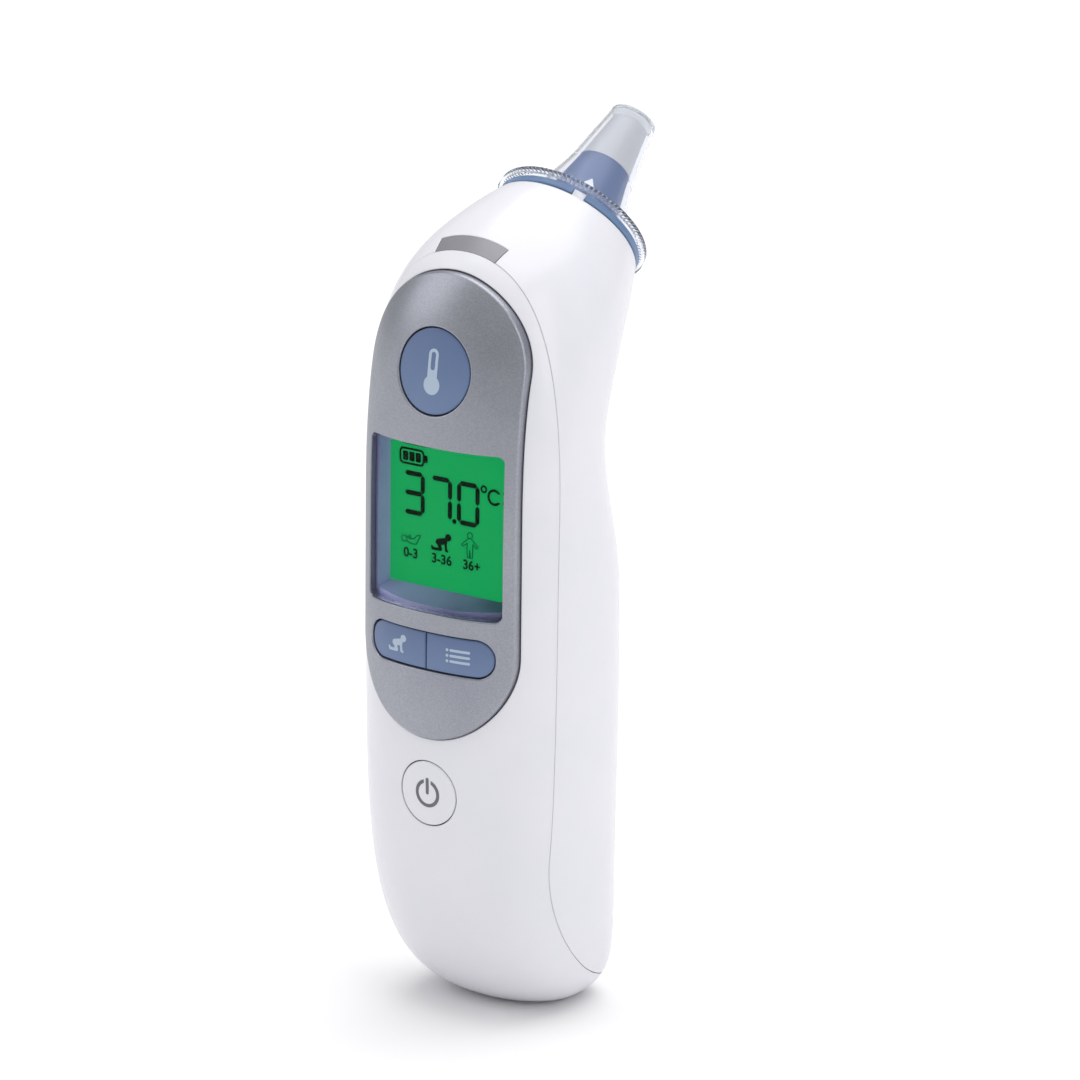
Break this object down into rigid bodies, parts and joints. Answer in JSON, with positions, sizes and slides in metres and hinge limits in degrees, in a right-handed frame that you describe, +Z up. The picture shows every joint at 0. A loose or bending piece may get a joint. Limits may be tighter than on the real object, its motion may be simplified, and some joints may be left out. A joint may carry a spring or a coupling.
{
  "type": "digital ear thermometer",
  "caption": "Hand-held infrared ear thermometer: tilted probe with slide-off clear filter and ejector ring, press buttons, lit display and removable battery door.",
  "frame": {"origin": "under the middle of the whole object, at its lowest point", "axes": "+Z up the handle towards the head, -Y the way the control panel faces, +X to the right as seen from the back"},
  "size_m": [0.0438, 0.0615, 0.1533],
  "materials": {
    "white_shell": "glossy moulded",
    "silver_panel": "metallic lacquer, satin",
    "clear_lens": "clear, polished",
    "clear_filter": "thin, clear",
    "display_blue": "satin, tinted",
    "lcd_green": "backlit liquid crystal",
    "button_blue": "satin",
    "pipe_grey": "translucent, satin",
    "collar_blue": "satin",
    "tip_grey": "satin",
    "board_green": "solder mask",
    "chip_black": "matt",
    "frame_white": "moulded",
    "guide_clear": "diffusing",
    "elastomer_grey": "matt",
    "led_clear": "clear",
    "steel": "bright",
    "sensor_metal": "polished",
    "sleeve_aluminium": "turned",
    "flex_amber": "polyimide",
    "cell_jacket": "printed jacket"
  },
  "bodies": {
    "handset": {"front_housing": "white_shell", "rear_housing": "white_shell", "light_pipe": "pipe_grey", "control_panel": "silver_panel", "display_window": "clear_lens", "display_frame": "display_blue", "main_board": "board_green", "switch_bodies": "chip_black", "lcd_glass": "lcd_green", "backlight_guide": "guide_clear", "backlight_leds": "led_clear", "lcd_holder": "frame_white", "zebra_strip": "elastomer_grey", "signal_leds": "led_clear", "controller_chips": "chip_black", "buzzer": "chip_black", "flex_connector": "frame_white", "board_screws": "steel", "housing_screws": "steel", "battery_tray": "frame_white", "battery_left": "cell_jacket", "battery_right": "cell_jacket", "contact_springs": "steel", "contact_plates": "steel", "ejector_spring": "steel", "probe_holder": "frame_white", "probe_cone": "collar_blue", "probe_tip": "tip_grey", "sensor_window": "sensor_metal", "sensor_can": "sensor_metal", "sensor_sleeve": "sleeve_aluminium", "sensor_flex": "flex_amber"},
    "start_key": {"start_button": "button_blue", "start_switch_plunger": "frame_white"},
    "age_key": {"age_button": "button_blue", "age_switch_plunger": "frame_white"},
    "memory_key": {"memory_button": "button_blue", "memory_switch_plunger": "frame_white"},
    "power_key": {"power_button": "white_shell", "power_switch_plunger": "frame_white"},
    "ejector": {"ejector_collar": "collar_blue"},
    "filter": {"lens_filter": "clear_filter", "filter_film": "clear_filter"},
    "detector": {"filter_detector": "frame_white"},
    "door": {"battery_door": "white_shell"}
  },
  "joints": [
    {"name": "start_press", "type": "slide", "parent": "handset", "child": "start_key", "axis": [0, 1, 0], "range_m": [0, 0.0006], "stiffness_N_per_m": 200},
    {"name": "age_press", "type": "slide", "parent": "handset", "child": "age_key", "axis": [0, 1, 0], "range_m": [0, 0.0005], "stiffness_N_per_m": 200},
    {"name": "memory_press", "type": "slide", "parent": "handset", "child": "memory_key", "axis": [0, 1, 0], "range_m": [0, 0.0005], "stiffness_N_per_m": 200},
    {"name": "power_press", "type": "slide", "parent": "handset", "child": "power_key", "axis": [0, 1, 0], "range_m": [0, 0.0005], "stiffness_N_per_m": 200},
    {"name": "ejector_push", "type": "slide", "parent": "handset", "child": "ejector", "axis": [0, 0.766, 0.6428], "range_m": [0, 0.003], "stiffness_N_per_m": 150, "deforming": ["ejector_spring"]},
    {"name": "filter_off", "type": "slide", "parent": "ejector", "child": "filter", "axis": [0, 0.766, 0.6428], "range_m": [0, 0.036]},
    {"name": "detector_rise", "type": "slide", "parent": "handset", "child": "detector", "axis": [0, 0.766, 0.6428], "range_m": [0, 0.0008]},
    {"name": "door_off", "type": "slide", "parent": "handset", "child": "door", "axis": [0, 1, 0], "range_m": [0, 0.03]}
  ],
  "couplings": [
    {"joint": "detector_rise", "follows": "filter_off", "ratio": 0.022}
  ]
}
